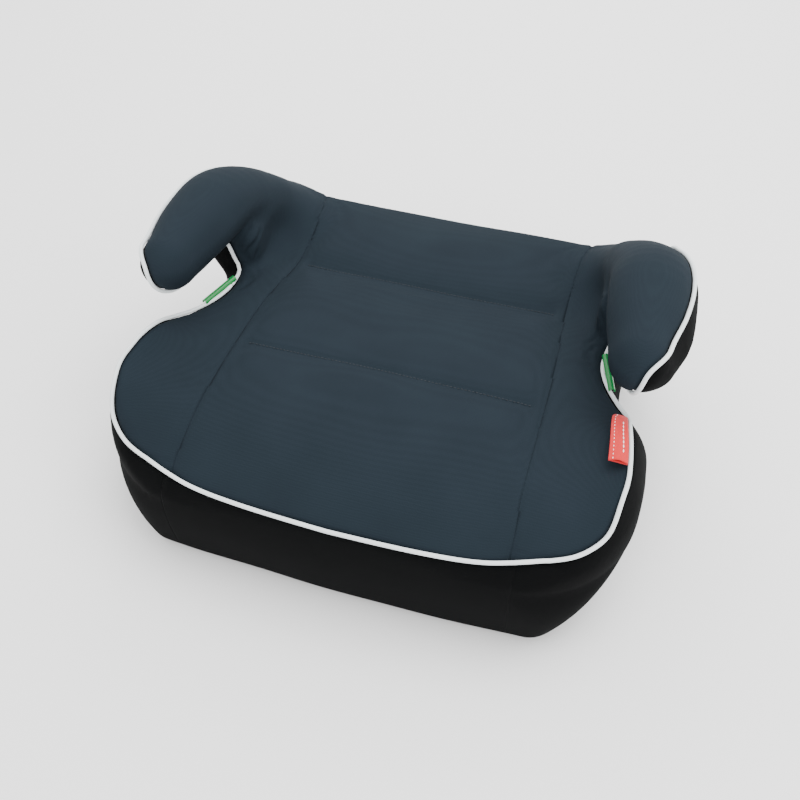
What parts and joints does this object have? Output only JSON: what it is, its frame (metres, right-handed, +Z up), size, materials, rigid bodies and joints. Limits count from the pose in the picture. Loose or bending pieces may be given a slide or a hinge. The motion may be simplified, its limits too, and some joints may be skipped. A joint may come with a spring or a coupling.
{
  "type": "child booster seat",
  "caption": "Backless child booster seat: padded fabric cover with piping over a plastic body, with two arm rests and lap belt slots under them.",
  "frame": {"origin": "on the floor under the middle of the seat", "axes": "+Z up, the front edge faces -Y, +X is the side with the tag"},
  "size_m": [0.4466, 0.364, 0.205],
  "materials": {
    "grey_knit": "fine knit",
    "black_fabric": "plain weave",
    "white_piping": "smooth piping",
    "green_plastic": "satin",
    "red_tag": "woven ribbon",
    "foam": "matte",
    "screw_steel": "zinc plated",
    "elastic": "covered",
    "body_plastic": "moulded"
  },
  "bodies": {
    "seat": {"arm_core_left": "body_plastic", "arm_core_right": "body_plastic", "arm_foam_left": "foam", "arm_foam_right": "foam", "arm_screws": "screw_steel", "base_tray": "body_plastic", "belt_guide_left": "green_plastic", "belt_guide_right": "green_plastic", "cover_centre_panel": "grey_knit", "cover_left_panel": "grey_knit", "cover_right_panel": "grey_knit", "hem_elastic": "elastic", "piping_back": "white_piping", "piping_front": "white_piping", "piping_left": "white_piping", "piping_right": "white_piping", "seat_foam": "foam", "seat_shell": "body_plastic", "shell_screws": "screw_steel", "skirt_back": "black_fabric", "skirt_front": "black_fabric", "skirt_left": "black_fabric", "skirt_right": "black_fabric"},
    "tag": {"tag": "red_tag"}
  },
  "joints": [
    {"name": "tag_lift", "type": "hinge", "parent": "seat", "child": "tag", "pos_m": [0.1972, -0.06205, 0.13658], "axis": [-0.176, 0.9583, -0.2251], "range_deg": [0, 110]}
  ]
}
